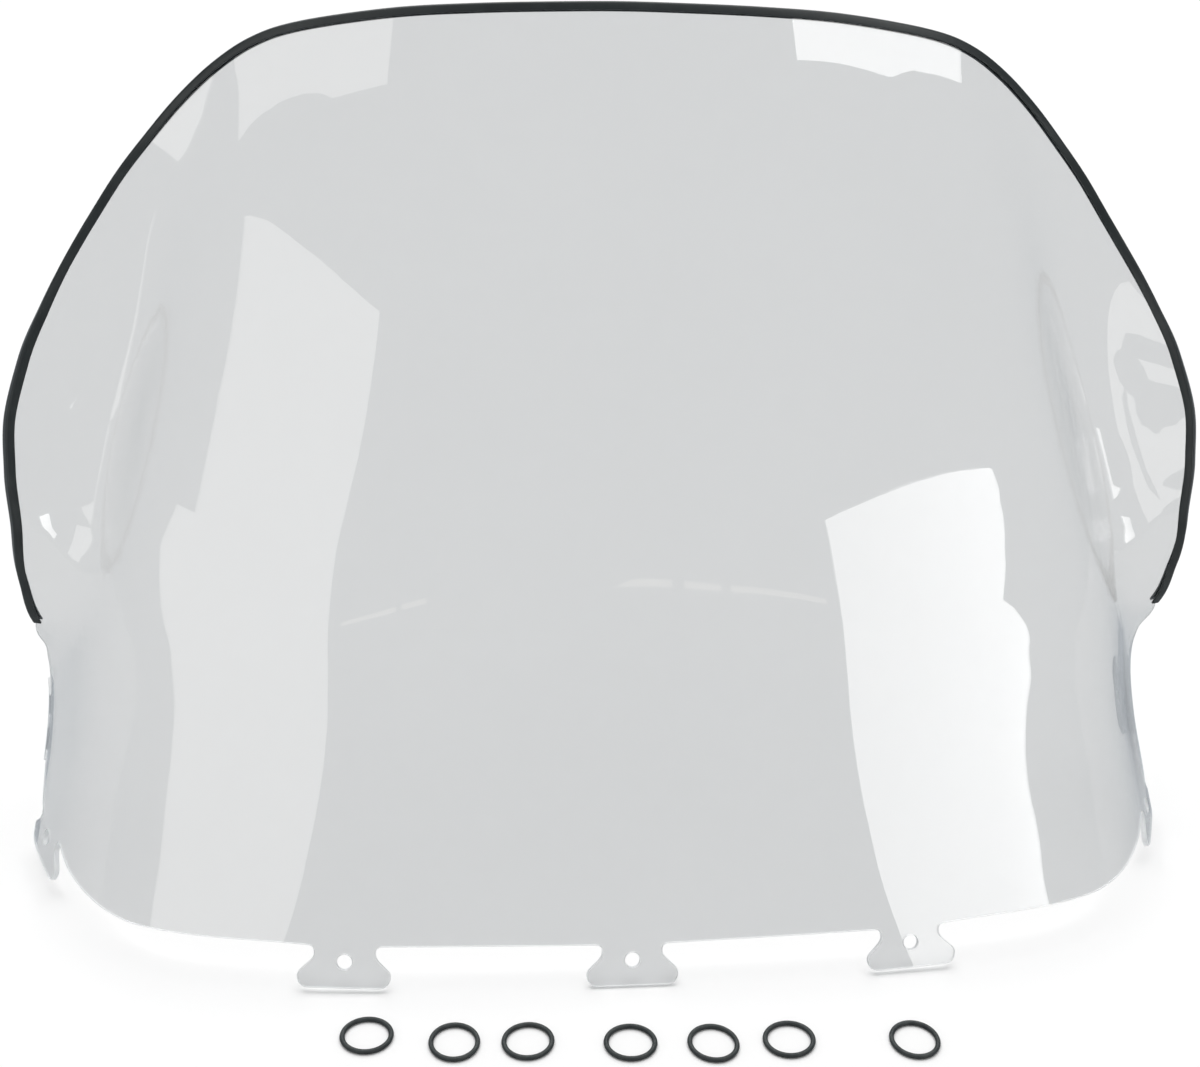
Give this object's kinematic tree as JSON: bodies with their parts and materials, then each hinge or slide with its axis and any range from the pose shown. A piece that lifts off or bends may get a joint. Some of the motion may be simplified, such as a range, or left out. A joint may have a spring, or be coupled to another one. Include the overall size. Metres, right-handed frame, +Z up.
{
  "type": "clear windshield screen",
  "caption": "Clear wraparound windshield screen with flared sides, dovetail mounting tabs, a black channel trim around its rim and loose rubber retaining rings.",
  "frame": {"origin": "on the floor, at the middle of the bounding box's underside, with the screen standing on its lower tabs and the rings in front of it", "axes": "+X to the right as seen from the front, +Y rearward, towards the rider, +Z up"},
  "size_m": [0.6736, 0.3146, 0.4745],
  "materials": {
    "clear_sheet": "clear, smooth and polished",
    "trim": "black extruded vinyl, satin",
    "ring": "black moulded rubber, satin"
  },
  "bodies": {
    "windshield": {"screen": "clear_sheet", "edge_trim": "trim"},
    "ring_1": {"o_ring_1": "ring"},
    "ring_2": {"o_ring_2": "ring"},
    "ring_3": {"o_ring_3": "ring"},
    "ring_4": {"o_ring_4": "ring"},
    "ring_5": {"o_ring_5": "ring"},
    "ring_6": {"o_ring_6": "ring"},
    "ring_7": {"o_ring_7": "ring"}
  },
  "joints": [
    {"name": "ring_1_lift", "type": "slide", "parent": "windshield", "child": "ring_1", "axis": [0, 0, 1], "range_m": [0, 0.05]},
    {"name": "ring_2_lift", "type": "slide", "parent": "windshield", "child": "ring_2", "axis": [0, 0, 1], "range_m": [0, 0.05]},
    {"name": "ring_3_lift", "type": "slide", "parent": "windshield", "child": "ring_3", "axis": [0, 0, 1], "range_m": [0, 0.05]},
    {"name": "ring_4_lift", "type": "slide", "parent": "windshield", "child": "ring_4", "axis": [0, 0, 1], "range_m": [0, 0.05]},
    {"name": "ring_5_lift", "type": "slide", "parent": "windshield", "child": "ring_5", "axis": [0, 0, 1], "range_m": [0, 0.05]},
    {"name": "ring_6_lift", "type": "slide", "parent": "windshield", "child": "ring_6", "axis": [0, 0, 1], "range_m": [0, 0.05]},
    {"name": "ring_7_lift", "type": "slide", "parent": "windshield", "child": "ring_7", "axis": [0, 0, 1], "range_m": [0, 0.05]}
  ]
}
